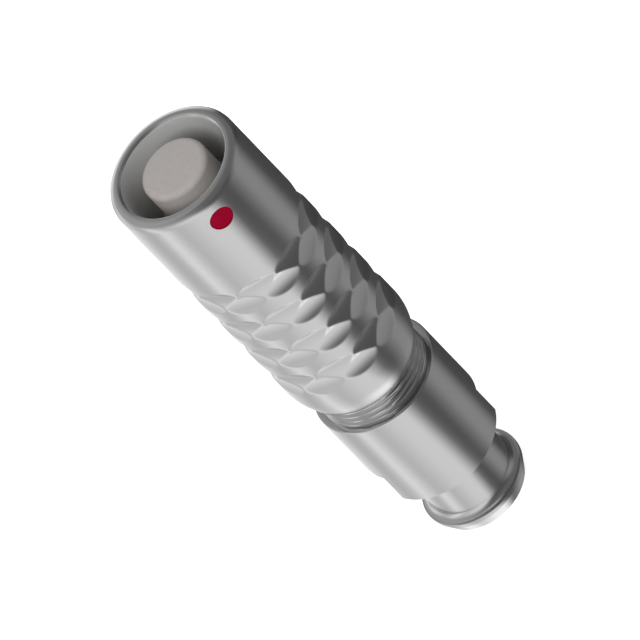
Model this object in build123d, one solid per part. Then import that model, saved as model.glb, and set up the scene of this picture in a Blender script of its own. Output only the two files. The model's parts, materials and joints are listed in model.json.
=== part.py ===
"""Straight cable socket of a circular push-pull connector with a 15 mm shell.

The connector's axis is Z. It stands on the rear lip of its collet nut, and the mating face is up.
The alignment dot is at -Y, and the nut's wrench flats face +X and -X. Lengths are in millimetres.
"""
from build123d import *
import os
from math import radians, tan

os.makedirs("parts", exist_ok=True)

# Collet nut, from the coned lip that it stands on up to the end of its thread
lip_r = 5.84
lip_nose_r = 5.12
lip_nose_h = 1.62
lip_band_h = 0.45
lip_fillet = 0.80
neck_r = 4.90
neck_len = 6.09
neck_wall = 0.90
nut_inset = 0.47
nut_len = 12.92
nut_front_bevel = 0.18
nut_rear_bevel = 0.10
flat_cut = 0.53
flats_len = 3.90
thread_inset = 1.25
thread_len = 10.0
thread_lead_in = 0.40
nut_mouth_bevel = 0.25
chamber_wall = 1.10
cone_angle = 20.0
cone_above_neck = 7.5

# The screw between nut and shell: how far the nut stands off, and how far it can be screwed in
thread_pitch = 0.75
thread_gap = 3.08
turns_in = 4
thread_clearance = 0.05
bore_end_clearance = 0.30

# Outer shell
shell_r = 7.50
shell_len = 36.66
rear_edge_wall = 0.45
taper_angle = 18.5
taper_blend_r = 6.0
rim_round = 0.90
socket_wall = 1.50
socket_bevel = 0.25
socket_depth = 12.0
rib_in = 0.60
rib_t = 1.0
carrier_wall_out = 1.70
latch_groove_deep = 0.45
latch_groove_depth = 7.60
latch_groove_w = 1.30

# Grip: pairs of rows of lens-shaped dimples, the second row of a pair half a step round from the first
dimples_round = 10
dimple_pairs = 4
pair_pitch = 5.13
first_row_depth = 13.78
row_step = 1.22
dimple_deep = 0.37
dimple_w = 2.80

# Alignment dot
dot_r = 1.325
dot_depth = 2.98
dot_sunk = 0.10
dot_recess = 0.55
dot_clearance = 0.01

# Insulator
post_r = 3.76
post_round = 0.65
post_sunk = 0.20
waist_in = 0.20
foot_out = 0.30
foot_len = 6.60
face_t = 0.50
post_wall = 0.50

# Contacts, three in the middle and a ring of nine
ring_contacts = 9
middle_contacts = 3
middle_pcd_r = 0.95
contact_r = 0.60
contact_bore_r = 0.45
contact_bore_depth = 9.0
cup_r = 0.72
cup_bore_r = 0.50
cup_len = 2.0
cup_bore_depth = 1.6

# Insert carrier, in two halves
carrier_lip = 0.80
carrier_land = 5.0
carrier_wall = 0.85
key_w = 1.20
key_h = 0.35
key_len = 6.0

# Earthing crown and the split ring that holds it
crown_flange_t = 0.50
crown_inset = 0.35
crown_wall = 0.30
crown_h = 2.80
crown_slots = 8
crown_slot_w = 0.50
crown_collar_h = 1.30
split_ring_t = 0.60
split_ring_gap = 1.6
split_groove_deep = 0.30

# Collet
collet_wall = 1.80
collet_cone_len = 2.20
collet_out = 2.0
collet_slots = 6
collet_slot_w = 0.60
collet_slot_len = 10.0
collet_mouth_bevel = 0.30

# Clearances, each on the radius or along the axis
slip = 0.05
stop_gap = 0.15
contact_clearance = 0.03

# Radii that the pieces share, worked inwards from the shell, and outwards from the contacts
socket_r = shell_r - socket_wall
thread_r = shell_r - thread_inset
female_r = thread_r + thread_clearance
shell_rear_r = female_r + rear_edge_wall
carrier_bore_r = shell_r - carrier_wall_out
carrier_r = carrier_bore_r - slip
carrier_room_r = carrier_r - carrier_wall
rib_bore_r = carrier_bore_r - rib_in
crown_r = socket_r - crown_inset
nut_r = shell_r - nut_inset
half_flats = nut_r - flat_cut
nut_bore_r = neck_r - neck_wall
chamber_r = thread_r - chamber_wall
collet_r = chamber_r - slip
collet_bore_r = collet_r - collet_wall
hole_r = contact_r + contact_clearance
ring_pcd_r = post_r - post_wall - hole_r
waist_r = post_r - waist_in
foot_r = post_r + foot_out

# Heights that the pieces share
lip_top = lip_nose_h + lip_band_h
fillet_top = lip_top + lip_fillet
neck_top = fillet_top + neck_len
nut_front = neck_top + nut_len
thread_end = nut_front + thread_len
shell_rear = nut_front + thread_gap
shell_front = shell_rear + shell_len
post_front = shell_front - post_sunk
travel_in = turns_in * thread_pitch
socket_floor = shell_front - socket_depth
rib_rear = socket_floor - rib_t
thread_bore_end = thread_end + travel_in + bore_end_clearance
collet_front = thread_end + collet_out
carrier_rear = collet_front + travel_in + stop_gap
foot_top = rib_rear - carrier_lip
foot_rear = foot_top - foot_len
cone_top = neck_top + cone_above_neck
cone_bottom = cone_top - (chamber_r - nut_bore_r) / tan(radians(cone_angle))


def turned(edges, rounded=()):
    """Turn a closed outline, drawn as radius against height, about Z. Corners in rounded get a radius."""
    face = make_face(edges)
    for corner, size in rounded:
        face = fillet(face.vertices().sort_by_distance(corner)[0], size)
    return revolve(Plane.XZ * face, Axis.Z)


def ring(outer_r, inner_r, low, high):
    """A plain tube between two heights."""
    return turned(Polyline((inner_r, low), (outer_r, low), (outer_r, high), (inner_r, high), close=True))


def block(x, y, low, high, at=(0, 0)):
    """A box between two heights, centred at a point of the plan."""
    return Pos(at[0], at[1], (low + high) / 2) * Box(x, y, high - low)


def radial_slots(count, width, low, high, outer_r):
    """Slots through a tube's wall, evenly round, each from the axis outwards."""
    return [
        place * block(outer_r, width, low, high, at=(outer_r / 2, 0))
        for place in PolarLocations(0, count)
    ]


def collet_nut():
    outline = Curve() + [
        Polyline(
            (nut_bore_r + nut_mouth_bevel, 0),
            (lip_nose_r, 0),
            (lip_r, lip_nose_h),
            (lip_r, lip_top),
            (neck_r + lip_fillet, lip_top),
        ),
        TangentArc((neck_r + lip_fillet, lip_top), (neck_r, fillet_top), tangent=(-1, 0)),
        Polyline(
            (neck_r, fillet_top),
            (neck_r, neck_top),
            (nut_r - nut_rear_bevel, neck_top),
            (nut_r, neck_top + nut_rear_bevel),
            (nut_r, nut_front - nut_front_bevel),
            (nut_r - nut_front_bevel, nut_front),
            (thread_r, nut_front),
            (thread_r, thread_end - thread_lead_in),
            (thread_r - thread_lead_in, thread_end),
            (chamber_r, thread_end),
            (chamber_r, cone_top),
            (nut_bore_r, cone_bottom),
            (nut_bore_r, nut_mouth_bevel),
            (nut_bore_r + nut_mouth_bevel, 0),
        ),
    ]
    nut = turned(outline.edges())
    for side in (-1, 1):
        middle = side * (half_flats + flat_cut)
        nut -= block(2 * flat_cut, 2 * nut_r, neck_top, neck_top + flats_len, at=(middle, 0))
    return nut


def collet():
    tail_cone_r = collet_r - collet_cone_len * tan(radians(cone_angle))
    rear = cone_top - collet_cone_len
    sleeve = turned(
        Polyline(
            (collet_bore_r + collet_mouth_bevel, rear),
            (tail_cone_r, rear),
            (collet_r, cone_top),
            (collet_r, collet_front),
            (collet_bore_r + collet_mouth_bevel, collet_front),
            (collet_bore_r, collet_front - collet_mouth_bevel),
            (collet_bore_r, rear + collet_mouth_bevel),
            close=True,
        )
    )
    slots = radial_slots(collet_slots, collet_slot_w, rear, rear + collet_slot_len, 2 * collet_r)
    return sleeve - slots


def dimple(height, angle):
    """One cutter of the grip: a round bar laid across the shell, which cuts a lens-shaped dimple."""
    bar_r = ((dimple_w / 2) ** 2 + dimple_deep ** 2) / (2 * dimple_deep)
    bar = Cylinder(bar_r, shell_r, rotation=(90, 0, 0))
    return Rot(0, 0, angle) * Pos(shell_r - dimple_deep + bar_r, 0, height) * bar


def grip():
    step = 360 / dimples_round
    toward_dot = -90
    cutters = []
    for pair in range(dimple_pairs):
        upper = shell_front - first_row_depth - pair * pair_pitch
        for place in range(dimples_round):
            aligned = toward_dot + place * step
            cutters.append(dimple(upper, aligned + step / 2))
            cutters.append(dimple(upper - row_step, aligned))
    return cutters


def dot_drill(radius, deep_y):
    """A round bar along Y, from the recess's floor out past the shell."""
    height = shell_front - dot_depth
    length = shell_r
    return Pos(0, -deep_y - length / 2, height) * Cylinder(radius, length, rotation=(90, 0, 0))


def outer_shell():
    split_groove_low = socket_floor + crown_flange_t
    latch_top = shell_front - latch_groove_depth
    taper_top = shell_rear + (shell_r - shell_rear_r) / tan(radians(taper_angle))
    body = turned(
        Polyline(
            (female_r, shell_rear),
            (shell_rear_r, shell_rear),
            (shell_r, taper_top),
            (shell_r, shell_front),
            (socket_r + socket_bevel, shell_front),
            (socket_r, shell_front - socket_bevel),
            (socket_r, socket_floor),
            (rib_bore_r, socket_floor),
            (rib_bore_r, rib_rear),
            (carrier_bore_r, rib_rear),
            (carrier_bore_r, thread_bore_end),
            (female_r, thread_bore_end),
            close=True,
        ),
        rounded=[((shell_r, taper_top), taper_blend_r), ((shell_r, shell_front), rim_round)],
    )
    body -= ring(socket_r + latch_groove_deep, rib_bore_r, latch_top - latch_groove_w, latch_top)
    body -= ring(
        socket_r + split_groove_deep, rib_bore_r, split_groove_low, split_groove_low + split_ring_t + slip
    )
    keyway_y = carrier_r + key_h + slip
    body -= block(key_w + 2 * slip, keyway_y, thread_bore_end, rib_rear, at=(0, -keyway_y / 2))
    body -= dot_drill(dot_r, shell_r - dot_recess)
    return body - grip()


def alignment_dot():
    fill = dot_drill(dot_r - dot_clearance, shell_r - dot_recess)
    height = shell_front - dot_depth
    return fill & ring(shell_r - dot_sunk, socket_r, height - 2 * dot_r, height + 2 * dot_r)


def contact_places():
    """Where the contacts stand on the plan: the ring first, then the three in the middle."""
    return [*PolarLocations(ring_pcd_r, ring_contacts), *PolarLocations(middle_pcd_r, middle_contacts)]


def insulator():
    """The post, just short of the rim, a waist that the carrier's lip holds, and blind holes from behind."""
    body = turned(
        Polyline(
            (0, foot_rear),
            (foot_r, foot_rear),
            (foot_r, foot_top),
            (waist_r, foot_top),
            (waist_r, rib_rear + 2 * slip),
            (post_r, rib_rear + 2 * slip),
            (post_r, post_front),
            (0, post_front),
            close=True,
        ),
        rounded=[((post_r, post_front), post_round)],
    )
    hole_top = post_front - face_t + contact_clearance
    hole = Pos(0, 0, (foot_rear + hole_top) / 2) * Cylinder(hole_r, hole_top - foot_rear)
    return body - [place * hole for place in contact_places()]


def contact():
    """One female contact: a sprung socket in front, its barrel, and a solder cup, open on one side."""
    front = post_front - face_t
    rear = foot_rear - cup_len
    body = turned(
        Polyline(
            (0, rear + cup_bore_depth),
            (cup_bore_r, rear + cup_bore_depth),
            (cup_bore_r, rear),
            (cup_r, rear),
            (cup_r, foot_rear),
            (contact_r, foot_rear),
            (contact_r, front),
            (contact_bore_r, front),
            (contact_bore_r, front - contact_bore_depth),
            (0, front - contact_bore_depth),
            close=True,
        )
    )
    return body - block(cup_r, 2 * cup_r, rear, rear + cup_bore_depth, at=(cup_r / 2, 0))


def carrier():
    """The whole insert carrier, before it is split."""
    body = turned(
        Polyline(
            (carrier_room_r, carrier_rear),
            (carrier_r, carrier_rear),
            (carrier_r, rib_rear),
            (waist_r + slip, rib_rear),
            (waist_r + slip, foot_top),
            (foot_r + slip, foot_top),
            (foot_r + slip, foot_top - carrier_land),
            (carrier_room_r, foot_top - carrier_land),
            close=True,
        )
    )
    key_y = carrier_r + key_h
    root_y = (carrier_r + carrier_room_r) / 2
    key = block(key_w, key_y - root_y, rib_rear - key_len, rib_rear, at=(0, -(key_y + root_y) / 2))
    return body + key


def carrier_half(side):
    """The half of the carrier on one side of the plane through the axis, -1 towards the dot."""
    width = 4 * carrier_bore_r
    return carrier() & block(width, width / 2, carrier_rear, rib_rear, at=(0, side * width / 4))


def earthing_crown():
    crown_inner_r = crown_r - crown_wall
    flange_top_z = socket_floor + crown_flange_t
    body = turned(
        Polyline(
            (crown_inner_r, socket_floor),
            (socket_r - slip, socket_floor),
            (socket_r - slip, flange_top_z),
            (crown_r, flange_top_z),
            (crown_r, socket_floor + crown_h),
            (crown_inner_r, socket_floor + crown_h),
            close=True,
        )
    )
    top = socket_floor + crown_h
    return body - radial_slots(crown_slots, crown_slot_w, socket_floor + crown_collar_h, top, 2 * crown_r)


def retaining_ring():
    low = socket_floor + crown_flange_t
    high = low + split_ring_t
    outer_r = socket_r + split_groove_deep - slip
    return ring(outer_r, crown_r + slip, low, high) - block(
        split_ring_gap, outer_r, low, high, at=(0, outer_r / 2 + crown_r / 2)
    )


def export_all():
    nodes = {
        "collet_nut": collet_nut(),
        "collet": collet(),
        "outer_shell": outer_shell(),
        "alignment_dot": alignment_dot(),
        "insulator": insulator(),
        "carrier_half_a": carrier_half(-1),
        "carrier_half_b": carrier_half(1),
        "earthing_crown": earthing_crown(),
        "retaining_ring": retaining_ring(),
    }
    for number, place in enumerate(contact_places(), start=1):
        nodes[f"contact_{number}"] = place * contact()
    for name, shape in nodes.items():
        export_step(shape, f"parts/{name}.step")


export_all()
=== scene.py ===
"""The looks of a straight cable socket of a circular push-pull connector, standing on its rear lip."""
import json
import math
import bpy
import bmesh
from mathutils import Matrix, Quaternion, Vector


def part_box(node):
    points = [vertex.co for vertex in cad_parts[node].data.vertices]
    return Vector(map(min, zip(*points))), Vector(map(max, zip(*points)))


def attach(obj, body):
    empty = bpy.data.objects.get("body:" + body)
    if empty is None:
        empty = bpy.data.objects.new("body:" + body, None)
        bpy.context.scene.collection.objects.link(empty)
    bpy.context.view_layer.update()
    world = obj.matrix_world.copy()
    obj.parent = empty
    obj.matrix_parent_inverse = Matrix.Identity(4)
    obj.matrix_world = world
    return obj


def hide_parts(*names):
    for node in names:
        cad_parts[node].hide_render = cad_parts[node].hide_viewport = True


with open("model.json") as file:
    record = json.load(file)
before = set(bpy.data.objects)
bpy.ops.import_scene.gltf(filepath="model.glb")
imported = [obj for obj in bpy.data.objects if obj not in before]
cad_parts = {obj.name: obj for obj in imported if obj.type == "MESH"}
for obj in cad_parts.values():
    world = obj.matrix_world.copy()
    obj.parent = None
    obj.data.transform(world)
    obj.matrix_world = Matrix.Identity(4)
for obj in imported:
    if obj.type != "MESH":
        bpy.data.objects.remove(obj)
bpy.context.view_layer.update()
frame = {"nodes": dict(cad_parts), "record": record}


# Outer shell: one turned piece of brass, its grip of lens-shaped dimples milled with a round cutter,
# then blasted and plated with satin chrome. It holds everything else and carries the socket bore.
MM = 0.001
NEAR = 0.001  # millimetres within which two places count as one
shell_low, shell_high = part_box("outer_shell")
shell_r = shell_high.x / MM
shell_front = shell_high.z / MM
shell_rear = shell_low.z / MM
shell_rear_r = 6.75
taper_angle = math.radians(18.5)
taper_top = shell_rear + (shell_r - shell_rear_r) / math.tan(taper_angle)
taper_blend = 1.0
rim_round = 0.90
edge_break = 0.08
socket_r = 6.0
socket_bevel = 0.25
socket_floor = shell_front - 12.0
latch_r = 6.45
latch_top = shell_front - 7.6
latch_low = latch_top - 1.3
split_r = 6.30
split_low = socket_floor + 0.5
split_top = split_low + 0.65
rib_r = 5.2
rib_rear = socket_floor - 1.0
carrier_bore_r = 5.80
female_r = 6.30
female_end = 35.18
shell_steps = 320

dimples_round = 10
dimple_step = 2 * math.pi / dimples_round
dimple_deep = 0.37
dimple_w = 2.80
cutter_r = ((dimple_w / 2) ** 2 + dimple_deep ** 2) / (2 * dimple_deep)
cutter_out = shell_r - dimple_deep + cutter_r
dimple_pairs = 4
pair_pitch = 5.13
first_row = shell_front - 13.78
row_step = 1.22
crease = 0.07
toward_dot = -math.pi / 2
dimple_rows = []
for pair in range(dimple_pairs):
    upper = first_row - pair * pair_pitch
    dimple_rows.append((upper, toward_dot + dimple_step / 2))
    dimple_rows.append((upper - row_step, toward_dot))
grip_margin = 0.1
grip_top = first_row + dimple_w / 2 + grip_margin
grip_low = dimple_rows[-1][0] - dimple_w / 2 - grip_margin
grip_row_pitch = 0.105


def wire(points, closed):
    """A mesh with a line of edges through (radius, height) points in the XZ plane, and its vertices."""
    bm = bmesh.new()
    verts = [bm.verts.new((r * MM, 0, z * MM)) for r, z in points]
    after = verts[1:] + verts[:1] if closed else verts[1:]
    for start, end in zip(verts, after):
        bm.edges.new((start, end))
    return bm, verts


def round_corner(bm, vert, rounding, segments):
    """Rounds one corner of a wire. The rounding is how far back from the corner it starts."""
    bmesh.ops.bevel(bm, geom=[vert], offset=rounding * MM, offset_type="OFFSET", segments=segments,
                    profile=0.5, affect="VERTICES", material=-1)


def outline(corners):
    """A closed wire through (radius, height, rounding) corners."""
    bm, verts = wire([(r, z) for r, z, _ in corners], closed=True)
    for vert, (_, _, rounding) in zip(verts, corners):
        if rounding:
            round_corner(bm, vert, rounding, segments=5)
    return bm


def split_rows(bm, radius, low, high, pitch):
    """Cuts the outline's upright edges at one radius, between two heights, into rows one pitch tall."""
    for edge in list(bm.edges):
        a, b = sorted((v.co.z / MM for v in edge.verts))
        upright = all(abs(v.co.x / MM - radius) < NEAR for v in edge.verts)
        if upright and a > low - NEAR and b < high + NEAR and b - a > 2 * pitch:
            bmesh.ops.subdivide_edges(bm, edges=[edge], cuts=int((b - a) / pitch))


def turn(bm, steps):
    """Spins a wire into a closed body of revolution about Z."""
    bmesh.ops.spin(bm, geom=bm.verts[:] + bm.edges[:], cent=(0, 0, 0), axis=(0, 0, 1),
                   angle=2 * math.pi, steps=steps, use_merge=True)
    bmesh.ops.remove_doubles(bm, verts=bm.verts[:], dist=1e-7)
    bmesh.ops.recalc_face_normals(bm, faces=bm.faces[:])


def lay(bm, toward, place):
    """Swings a body that stands on Z to point another way, and then moves it."""
    swing = Vector((0, 0, 1)).rotation_difference(Vector(toward)).to_matrix()
    bmesh.ops.rotate(bm, verts=bm.verts[:], cent=(0, 0, 0), matrix=swing)
    bmesh.ops.translate(bm, verts=bm.verts[:], vec=tuple(c * MM for c in place))


def piece(name, bm, sharp=32):
    """Turns a bmesh into a smooth-shaded object whose edges sharper than the angle stay crisp."""
    mesh = bpy.data.meshes.new(name)
    bm.to_mesh(mesh)
    bm.free()
    mesh.shade_smooth()
    mesh.set_sharp_from_angle(angle=math.radians(sharp))
    obj = bpy.data.objects.new(name, mesh)
    bpy.context.scene.collection.objects.link(obj)
    return obj


def cut(obj, tool, sharp=32):
    """Takes a closed tool out of a piece's mesh and throws the tool away."""
    step = obj.modifiers.new("cut", "BOOLEAN")
    step.operation = "DIFFERENCE"
    step.solver = "EXACT"
    step.object = tool
    bpy.context.view_layer.update()
    done = bpy.data.meshes.new_from_object(obj.evaluated_get(bpy.context.evaluated_depsgraph_get()))
    obj.modifiers.clear()
    obj.data = done
    obj.data.set_sharp_from_angle(angle=math.radians(sharp))
    bpy.data.objects.remove(tool)


def blunt_min(a, b, width):
    """The lower of two radii, with the corner between them rounded over a small width."""
    near = max(width - abs(a - b), 0) / width
    return min(a, b) - near * near * width / 4


def grip_radius(angle, height):
    """How far out the shell's surface lies once the grip has been milled."""
    radius = shell_r
    for row, first in dimple_rows:
        above = height - row
        if abs(above) < dimple_w / 2 + crease:
            aside = (angle - first + dimple_step / 2) % dimple_step - dimple_step / 2
            floor = (cutter_out - math.sqrt(cutter_r ** 2 - above ** 2)) / math.cos(aside)
            radius = blunt_min(radius, floor, crease)
    return radius


shell_mesh = outline([
    (female_r, shell_rear, edge_break),
    (shell_rear_r, shell_rear, edge_break / 3),
    (shell_r, taper_top, taper_blend),
    (shell_r, grip_low, 0),
    (shell_r, grip_top, 0),
    (shell_r, shell_front, rim_round),
    (socket_r + socket_bevel, shell_front, edge_break / 2),
    (socket_r, shell_front - socket_bevel, edge_break / 2),
    (socket_r, latch_top, 0),
    (latch_r, latch_top, 0),
    (latch_r, latch_low, 0),
    (socket_r, latch_low, 0),
    (socket_r, split_top, 0),
    (split_r, split_top, 0),
    (split_r, split_low, 0),
    (socket_r, split_low, 0),
    (socket_r, socket_floor, 0),
    (rib_r, socket_floor, 0),
    (rib_r, rib_rear, 0),
    (carrier_bore_r, rib_rear, 0),
    (carrier_bore_r, female_end, 0),
    (female_r, female_end, 0),
])
split_rows(shell_mesh, shell_r, grip_low, grip_top, grip_row_pitch)
turn(shell_mesh, shell_steps)
for vert in shell_mesh.verts:
    height = vert.co.z / MM
    radius = vert.co.xy.length / MM
    if grip_low < height < grip_top and radius > shell_r - NEAR:
        vert.co.xy *= grip_radius(math.atan2(vert.co.y, vert.co.x), height) / radius
shell = piece("shell_body", shell_mesh)

dot_r = 1.325
dot_height = shell_front - 2.98
dot_floor = shell_r - 0.55
dot_steps = 96
drill_len = 2
drill_mesh = bmesh.new()
bmesh.ops.create_cone(drill_mesh, cap_ends=True, segments=dot_steps, radius1=dot_r * MM,
                      radius2=dot_r * MM, depth=drill_len * MM)
lay(drill_mesh, (0, 1, 0), (0, -(dot_floor + drill_len / 2), dot_height))
cut(shell, piece("dot_drill", drill_mesh))
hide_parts("outer_shell")
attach(shell, "shell")


def linear(hex_colour):
    """An sRGB hex colour as the linear values that a shader takes."""
    parts = [int(hex_colour[i:i + 2], 16) / 255 for i in (1, 3, 5)]
    return [c / 12.92 if c <= 0.04045 else ((c + 0.055) / 1.055) ** 2.4 for c in parts] + [1]


def node(tree, kind, inputs=(), **settings):
    """Adds a shader node. inputs pairs an input's name or number with a value, a socket, or a node whose
    first output is meant. settings name the node's properties, or else its inputs."""
    made = tree.nodes.new(kind)
    for name, value in settings.items():
        if hasattr(made, name):
            setattr(made, name, value)
        else:
            made.inputs[name.replace("_", " ")].default_value = value
    for name, source in inputs:
        if isinstance(source, bpy.types.Node):
            source = source.outputs[0]
        if isinstance(source, bpy.types.NodeSocket):
            tree.links.new(source, made.inputs[name])
        else:
            made.inputs[name].default_value = source
    return made


def material(name):
    """A new material: its node tree, its surface shader and the material itself."""
    made = bpy.data.materials.new(name)
    made.use_nodes = True
    return made.node_tree, made.node_tree.nodes["Principled BSDF"], made


def satin_chrome(name, smoothest, roughest):
    """Satin chrome plate over blasted brass: blurred grey reflections under a very fine even grain."""
    tree, surface, made = material(name)
    surface.inputs["Base Color"].default_value = linear("#C9C9C9")
    surface.inputs["Metallic"].default_value = 1
    place = node(tree, "ShaderNodeTexCoord")
    grain_mm = 0.16  # the real blasting is finer, and is drawn this coarse so that it shows
    grain_deep_mm = 0.004
    grain = node(tree, "ShaderNodeTexNoise", [("Vector", place.outputs["Object"])],
                 Scale=1 / (grain_mm * MM), Detail=2.0)
    rough = node(tree, "ShaderNodeMapRange", [("Value", grain.outputs["Fac"])],
                 To_Min=smoothest, To_Max=roughest)
    bump = node(tree, "ShaderNodeBump", [("Height", grain.outputs["Fac"])],
                Strength=0.25, Distance=grain_deep_mm * MM)
    tree.links.new(rough.outputs["Result"], surface.inputs["Roughness"])
    tree.links.new(bump.outputs["Normal"], surface.inputs["Normal"])
    return made


def socket_plate():
    """The same plate inside the socket, where it lies thin over the blasting and stays matt."""
    tree, surface, made = material("matt_socket_plate")
    place = node(tree, "ShaderNodeTexCoord")
    grain_mm = 0.2  # drawn coarse, as on the outside
    grain = node(tree, "ShaderNodeTexNoise", [("Vector", place.outputs["Object"])],
                 Scale=1 / (grain_mm * MM), Detail=2.0)
    tint = node(tree, "ShaderNodeValToRGB", [("Fac", grain.outputs["Fac"])])
    tint.color_ramp.elements[0].color = linear("#BABAB8")
    tint.color_ramp.elements[1].color = linear("#C4C4C2")
    tree.links.new(tint.outputs["Color"], surface.inputs["Base Color"])
    surface.inputs["Metallic"].default_value = 0.25
    surface.inputs["Roughness"].default_value = 0.5
    return made


def two_finishes(obj, main, other, has_other):
    """Finishes a piece in two materials, the other one on faces that has_other(radius, height) picks."""
    obj.data.materials.clear()
    obj.data.materials.append(main)
    obj.data.materials.append(other)
    for face in obj.data.polygons:
        face.material_index = int(has_other(face.center.xy.length / MM, face.center.z / MM))


face_margin = 0.02


def in_socket(radius, height):
    """Whether a face of the shell is in the socket bore or its grooves."""
    return radius < latch_r + face_margin and socket_floor < height < shell_front - socket_bevel


chrome = satin_chrome("satin_chrome_plate", 0.16, 0.23)
two_finishes(shell, chrome, socket_plate(), in_socket)


# Alignment dot: crimson lacquer, flowed into the drilled recess and hardened a little below the shell.
# It has to meet the dot of the plug, so it marks the side that the user holds up.
dot_sunk = 0.10
dot_clear = 0.01
dot_dish = 0.03
dot_rings = 6
lacquer_r = dot_r - dot_clear
dot_points = [(0, dot_floor), (lacquer_r, dot_floor)]
for ring in range(dot_rings, -1, -1):
    out = ring / dot_rings
    dot_points.append((lacquer_r * out, shell_r - dot_sunk - dot_dish * (1 - out ** 2)))
dot_mesh = wire(dot_points, closed=False)[0]
turn(dot_mesh, dot_steps)
for vert in dot_mesh.verts:
    if vert.co.z / MM > dot_floor + NEAR:
        vert.co.z += (math.sqrt(shell_r ** 2 - (vert.co.x / MM) ** 2) - shell_r) * MM
lay(dot_mesh, (0, -1, 0), (0, 0, dot_height))
bmesh.ops.recalc_face_normals(dot_mesh, faces=dot_mesh.faces[:])
dot = piece("dot_lacquer", dot_mesh)
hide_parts("alignment_dot")
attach(dot, "shell")


def lacquer():
    """Crimson enamel lacquer: deep colour, a soft sheen, and the faint unevenness of a drop that dried."""
    tree, surface, made = material("crimson_lacquer")
    place = node(tree, "ShaderNodeTexCoord")
    flow_mm = 0.7
    flow_deep_mm = 0.01
    flow = node(tree, "ShaderNodeTexNoise", [("Vector", place.outputs["Object"])],
                Scale=1 / (flow_mm * MM), Detail=2.0)
    tint = node(tree, "ShaderNodeValToRGB", [("Fac", flow.outputs["Fac"])])
    tint.color_ramp.elements[0].color = linear("#7A001C")
    tint.color_ramp.elements[1].color = linear("#930028")
    bump = node(tree, "ShaderNodeBump", [("Height", flow.outputs["Fac"])],
                Strength=0.2, Distance=flow_deep_mm * MM)
    tree.links.new(tint.outputs["Color"], surface.inputs["Base Color"])
    tree.links.new(bump.outputs["Normal"], surface.inputs["Normal"])
    surface.inputs["Roughness"].default_value = 0.38
    surface.inputs["Specular IOR Level"].default_value = 0.03
    return made


dot.data.materials.append(lacquer())


# Insulator: one moulding of a hard warm-grey engineering plastic. Its post fills the middle of the
# socket up to the rim, and its foot behind the waist holds the contacts.
insulator_low, insulator_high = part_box("insulator")
foot_r = insulator_high.x / MM
foot_rear = insulator_low.z / MM
waist_r = 3.56
waist_low = rib_rear - 0.80
post_r = 3.76
post_low = rib_rear + 0.10
post_front = insulator_high.z / MM
post_round = 0.65
insulator_steps = 192
insulator_mesh, insulator_corners = wire([
    (0, foot_rear),
    (foot_r, foot_rear),
    (foot_r, waist_low),
    (waist_r, waist_low),
    (waist_r, post_low),
    (post_r, post_low),
    (post_r, post_front),
    (0, post_front),
], closed=False)
round_corner(insulator_mesh, insulator_corners[-2], post_round, segments=8)
turn(insulator_mesh, insulator_steps)
insulator = piece("insulator_moulding", insulator_mesh)
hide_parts("insulator")
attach(insulator, "shell")


def moulded_plastic():
    """Filled high-temperature plastic, machined on its face: matt, warm grey, with a faint fine mottle."""
    tree, surface, made = material("warm_grey_insulator_plastic")
    place = node(tree, "ShaderNodeTexCoord")
    mottle_mm = 0.5
    mottle_deep_mm = 0.01
    mottle = node(tree, "ShaderNodeTexNoise", [("Vector", place.outputs["Object"])],
                  Scale=1 / (mottle_mm * MM), Detail=4.0)
    tint = node(tree, "ShaderNodeValToRGB", [("Fac", mottle.outputs["Fac"])])
    tint.color_ramp.elements[0].color = linear("#9A9592")
    tint.color_ramp.elements[1].color = linear("#A7A29F")
    bump = node(tree, "ShaderNodeBump", [("Height", mottle.outputs["Fac"])],
                Strength=0.15, Distance=mottle_deep_mm * MM)
    tree.links.new(tint.outputs["Color"], surface.inputs["Base Color"])
    tree.links.new(bump.outputs["Normal"], surface.inputs["Normal"])
    surface.inputs["Roughness"].default_value = 0.55
    return made


insulator.data.materials.append(moulded_plastic())


# Collet nut: one turned piece with a fine thread, two milled wrench flats, a thin neck and a lip, coned
# behind, for the bend relief. Chrome plated like the shell, but its cut thread keeps a sharper gloss.
lip_nose_r = 5.12
lip_nose = 1.62
lip_r = 5.84
lip_top = 2.07
fillet_r = 0.80
fillet_top = lip_top + fillet_r
fillet_steps = 10
neck_r = 4.90
neck_top = 8.96
nut_r = 7.03
nut_front = 21.88
nut_bore_r = 4.0
nut_mouth = 0.25
half_flats = 6.50
flats_top = 12.86
chamber_r = 5.15
cone_top = 16.46
cone_low = 13.30
thread_r = 6.25
thread_deep = 0.40
thread_pitch = 0.75
thread_rows = 14
thread_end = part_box("collet_nut")[1].z / MM
thread_lead = 0.40
thread_stop = thread_end - thread_lead
thread_fade = 0.25
crest_share = 0.125
root_share = 0.16
nut_steps = 240

nut_corners = [
    (nut_bore_r + nut_mouth, 0, 0.04),
    (lip_nose_r, 0, 0.06),
    (lip_r, lip_nose, 0.10),
    (lip_r, lip_top, 0.06),
]
for step in range(fillet_steps):
    bend = math.pi / 2 * (1 - step / fillet_steps)
    nut_corners.append((neck_r + fillet_r * (1 - math.cos(bend)), fillet_top - fillet_r * math.sin(bend), 0))
nut_corners += [
    (neck_r, fillet_top, 0),
    (neck_r, neck_top, 0.06),
    (nut_r, neck_top, 0.10),
    (nut_r, nut_front, 0.18),
    (thread_r, nut_front, 0),
    (thread_r, thread_stop, 0),
    (thread_r - thread_lead, thread_end, 0.05),
    (chamber_r, thread_end, 0),
    (chamber_r, cone_top, 0),
    (nut_bore_r, cone_low, 0),
    (nut_bore_r, nut_mouth, 0),
]


def thread_radius(angle, height):
    """A sharp V thread with a narrow flat crest, faded out over its first and last third of a turn."""
    phase = ((height - nut_front) / thread_pitch - angle / (2 * math.pi)) % 1
    up = 1 - abs(2 * phase - 1)
    share = min(max((up - root_share) / (1 - crest_share - root_share), 0), 1)
    ends = min((height - nut_front) / thread_fade, (thread_stop - height) / thread_fade, 1)
    return thread_r - thread_deep * (1 - share) * max(ends, 0)


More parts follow.
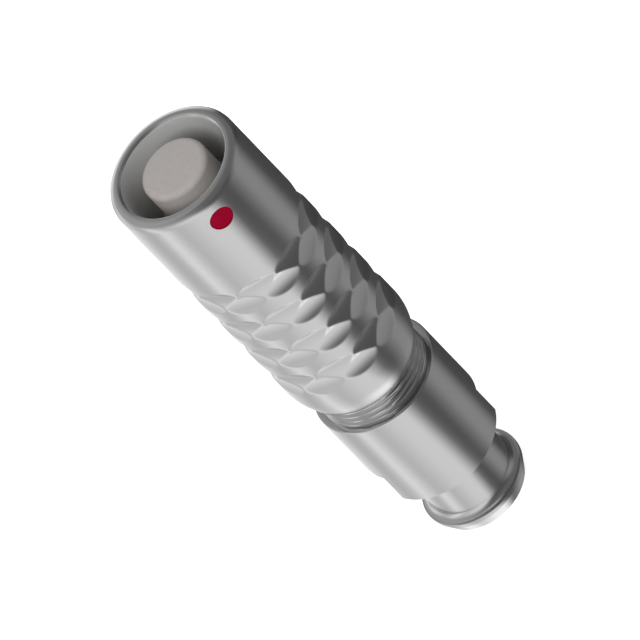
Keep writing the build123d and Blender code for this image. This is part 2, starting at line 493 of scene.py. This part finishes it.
nut_mesh = outline(nut_corners)
split_rows(nut_mesh, thread_r, nut_front, thread_stop, thread_pitch / thread_rows)
turn(nut_mesh, nut_steps)
for vert in nut_mesh.verts:
    height = vert.co.z / MM
    radius = vert.co.xy.length / MM
    if nut_front < height < thread_stop and abs(radius - thread_r) < NEAR:
        vert.co.xy *= thread_radius(math.atan2(vert.co.y, vert.co.x), height) / radius
nut = piece("nut_body", nut_mesh)
waste_w = 2
waste_len = 12
waste_over = 1
for side in (-1, 1):
    waste_mesh = bmesh.new()
    bmesh.ops.create_cube(waste_mesh, size=1)
    bmesh.ops.scale(waste_mesh, verts=waste_mesh.verts[:],
                    vec=(waste_w * MM, waste_len * MM, (flats_top - neck_top + waste_over) * MM))
    bmesh.ops.translate(waste_mesh, verts=waste_mesh.verts[:],
                        vec=(side * (half_flats + waste_w / 2) * MM, 0,
                             (flats_top + neck_top - waste_over) / 2 * MM))
    cut(nut, piece("waste", waste_mesh))
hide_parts("collet_nut")
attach(nut, "nut")


def on_thread(radius, height):
    """Whether a face of the nut is in front of its body and no deeper than the thread's root."""
    return radius > thread_r - thread_deep - face_margin and height > nut_front


two_finishes(nut, chrome, satin_chrome("cut_thread_plate", 0.10, 0.16), on_thread)


# Inner metal parts: the split carrier, the crown and the collet are nickel-plated brass, the split ring
# is spring steel and the contacts are gold plated. They show only down the socket and the cable bore.
def plated(name, colour, roughness, mark_mm):
    """A plated metal whose gloss varies in faint turning marks, drawn coarse enough to show."""
    tree, surface, made = material(name)
    surface.inputs["Base Color"].default_value = linear(colour)
    surface.inputs["Metallic"].default_value = 1
    place = node(tree, "ShaderNodeTexCoord")
    marks = node(tree, "ShaderNodeTexWave", [("Vector", place.outputs["Object"])], bands_direction="Z",
                 Scale=1 / (mark_mm * MM * 2 * math.pi), Distortion=0.4)
    spread = 0.04
    rough = node(tree, "ShaderNodeMapRange", [("Value", marks.outputs["Fac"])],
                 To_Min=roughness - spread, To_Max=roughness + spread)
    tree.links.new(rough.outputs["Result"], surface.inputs["Roughness"])
    return made


finishes = {
    "nickelled_brass": plated("nickel_plated_brass", "#C2BDB0", 0.30, 0.20),
    "spring_steel": plated("spring_steel", "#9B9B9C", 0.35, 0.20),
    "gold_plate": plated("gold_plate", "#D9AE5A", 0.22, 0.15),
}
for part in frame["record"]["subparts"]:
    if part["material_slot"] in finishes:
        carried = frame["nodes"][part["node"]]
        carried.data.materials.clear()
        carried.data.materials.append(finishes[part["material_slot"]])


# Studio: a white floor that keeps the shadow, a white ground for the camera, and round the object the
# soft boxes and dark flags that a metal part is photographed between, as a world that only metal sees.
floor_reach = 0.6
floor_glow = 0.70
floor_mesh = bmesh.new()
bmesh.ops.create_grid(floor_mesh, x_segments=1, y_segments=1, size=floor_reach)
floor = piece("floor", floor_mesh)
tree, surface, made = material("white_floor")
surface.inputs["Base Color"].default_value = linear("#F2F2F2")
surface.inputs["Roughness"].default_value = 0.9
surface.inputs["Emission Color"].default_value = (1, 1, 1, 1)
floor_ray = node(tree, "ShaderNodeLightPath")
glow = node(tree, "ShaderNodeMapRange", [("Value", floor_ray.outputs["Is Camera Ray"])], To_Max=floor_glow)
tree.links.new(glow.outputs["Result"], surface.inputs["Emission Strength"])
floor.data.materials.append(made)
floor.visible_glossy = False

world = bpy.data.worlds.new("studio")
bpy.context.scene.world = world
world.use_nodes = True
tree = world.node_tree
ray = node(tree, "ShaderNodeLightPath")
back = tree.nodes["Background"]
back.inputs["Strength"].default_value = 1


def grey(level):
    """A plain grey light, in linear values."""
    return (level, level, level, 1)


def fan(angle, stops):
    """Upright lights side by side: (bearing in degrees, level) stops, blended from one to the next."""
    share = node(tree, "ShaderNodeMapRange", [("Value", angle)], From_Min=-math.pi, From_Max=math.pi)
    lights = node(tree, "ShaderNodeValToRGB", [("Fac", share)])
    ramp = lights.color_ramp
    while len(ramp.elements) > 1:
        ramp.elements.remove(ramp.elements[0])
    for index, (degrees, level) in enumerate(stops):
        where = (degrees + 180) / 360
        stop = ramp.elements[0] if index == 0 else ramp.elements.new(where)
        stop.position = where
        stop.color = grey(level)
    return lights


# A place in the world is a direction of length 1 from the object: side is to the right of the dot's
# side, deep is away from it and height is up.
look = node(tree, "ShaderNodeTexCoord")
split = node(tree, "ShaderNodeSeparateXYZ", [("Vector", look.outputs["Generated"])])
side, deep, height = split.outputs["X"], split.outputs["Y"], split.outputs["Z"]

# The upright lights stand round the front and sides. Seen from above, their edges meet in one line
# behind the object, and their bearings are taken there: 0 is to the front, 90 to the right.
fan_line = 0.73
lean_level = 0.68
box_lean = 0.26
strip_lean = -0.12
from_line = node(tree, "ShaderNodeMath", [(0, fan_line), (1, deep)], operation="SUBTRACT")
bearing = node(tree, "ShaderNodeMath", [(0, side), (1, from_line)], operation="ARCTAN2")
raised = node(tree, "ShaderNodeMath", [(0, height), (1, lean_level)], operation="ADD")
box_bearing = node(tree, "ShaderNodeMath", [(0, raised), (1, box_lean), (2, bearing)],
                   operation="MULTIPLY_ADD")
strip_bearing = node(tree, "ShaderNodeMath", [(0, raised), (1, strip_lean), (2, bearing)],
                     operation="MULTIPLY_ADD")
soft_boxes = fan(box_bearing, [
    (-90, 0.80), (-80, 1.07), (-57, 0.66), (-50, 0.80), (-43, 1.20), (-30, 0.73), (-14, 0.98),
    (-1, 1.03), (10, 0.20), (16, 0.13), (60, 0.10), (80, 0.07), (90, 0.10),
])
strip = fan(strip_bearing, [(20, 0.0), (35, 0.26), (45, 0.25), (58, 0.0)])
off_side = node(tree, "ShaderNodeMath", [(0, side)], operation="ABSOLUTE")
off_deep = node(tree, "ShaderNodeMath", [(0, from_line)], operation="ABSOLUTE")
off_line = node(tree, "ShaderNodeMath", [(0, off_side), (1, off_deep)], operation="ADD")

# How far each light has faded in: what that depends on, where it starts and where it is full.
fade = {}
for name, along, start, full in (
    ("table_below", height, -0.80, -0.92),
    ("table_front", deep, -0.42, -0.20),
    ("table_side", off_side, 0.45, 0.10),
    ("fan_line", off_line, 0.20, 0.0),
    ("ceiling", height, 0.10, 0.90),
    ("ceiling_right", side, -0.6, 0.0),
    ("upper", height, 0.2, 0.5),
    ("back", deep, -0.1, 0.4),
    ("back_right", side, -0.3, 0.3),
    ("screen", deep, 0.82, 0.96),
):
    fade[name] = node(tree, "ShaderNodeMapRange", [("Value", along)], From_Min=start, From_Max=full,
                      interpolation_type="SMOOTHSTEP")
low = node(tree, "ShaderNodeMath", [(0, fade["table_below"]), (1, fade["table_front"])],
           operation="MULTIPLY")
table = node(tree, "ShaderNodeMath", [(0, low), (1, fade["table_side"])], operation="MULTIPLY")
upper_back = node(tree, "ShaderNodeMath", [(0, fade["upper"]), (1, fade["back"])], operation="MULTIPLY")
ceiling = node(tree, "ShaderNodeMixRGB",
               [("Fac", fade["ceiling_right"]), ("Color1", grey(0.42)), ("Color2", grey(0.18))])
back_light = node(tree, "ShaderNodeMixRGB",
                  [("Fac", fade["back_right"]), ("Color1", grey(0.50)), ("Color2", grey(0.20))])

# Each light is laid over the ones before it: a white table brightens the soft boxes, the line where
# they meet is softened, then come the ceiling, the back and a screen. Last are the even light that
# matt surfaces get and the white ground that the camera sees.
seen = soft_boxes
for share, light, way in (
    (table, grey(1.42), "MULTIPLY"),
    (1.0, strip, "ADD"),
    (fade["fan_line"], grey(0.40), "MIX"),
    (fade["ceiling"], ceiling, "MIX"),
    (upper_back, back_light, "MIX"),
    (fade["screen"], grey(1.1), "MIX"),
    (ray.outputs["Is Diffuse Ray"], grey(0.6), "MIX"),
    (ray.outputs["Is Camera Ray"], grey(1.0), "MIX"),
):
    seen = node(tree, "ShaderNodeMixRGB", [("Fac", share), ("Color1", seen), ("Color2", light)],
                blend_type=way)
tree.links.new(seen.outputs["Color"], back.inputs["Color"])

key_place = Vector((-0.15, -0.25, 0.35))
key_aim = Vector((0, 0, 0.03))
key_lamp = bpy.data.lights.new("key_lamp", "AREA")
key_lamp.size = 0.2
key_lamp.energy = 1.2
key = bpy.data.objects.new("key_lamp", key_lamp)
key.location = key_place
key.rotation_euler = (key_aim - key_place).to_track_quat("-Z", "Y").to_euler()
key.visible_glossy = False
bpy.context.scene.collection.objects.link(key)


# Camera: square to the photograph's view, which looks down on the mating face at 43 degrees from the
# dot's side, with the connector's axis leaning to the upper left of the picture.
look_at = Vector((0, 0, 32.30 * MM))
tilt = math.radians(43.15)
lean = math.radians(44.0)
frame_width = 64.43 * MM
lens = 1500
sensor = 36
away = frame_width * lens / sensor
camera_back = Vector((0, -math.cos(tilt), math.sin(tilt)))
camera_data = bpy.data.cameras.new("camera")
camera_data.sensor_width = sensor
camera_data.lens = lens
camera_data.clip_start = away * 0.5
camera_data.clip_end = away * 2
camera = bpy.data.objects.new("camera", camera_data)
camera.location = look_at + camera_back * away
camera.rotation_mode = "QUATERNION"
camera.rotation_quaternion = camera_back.to_track_quat("Z", "Y") @ Quaternion((0, 0, 1), -lean)
bpy.context.scene.collection.objects.link(camera)
bpy.context.scene.camera = camera

bpy.context.scene.view_settings.view_transform = "Standard"
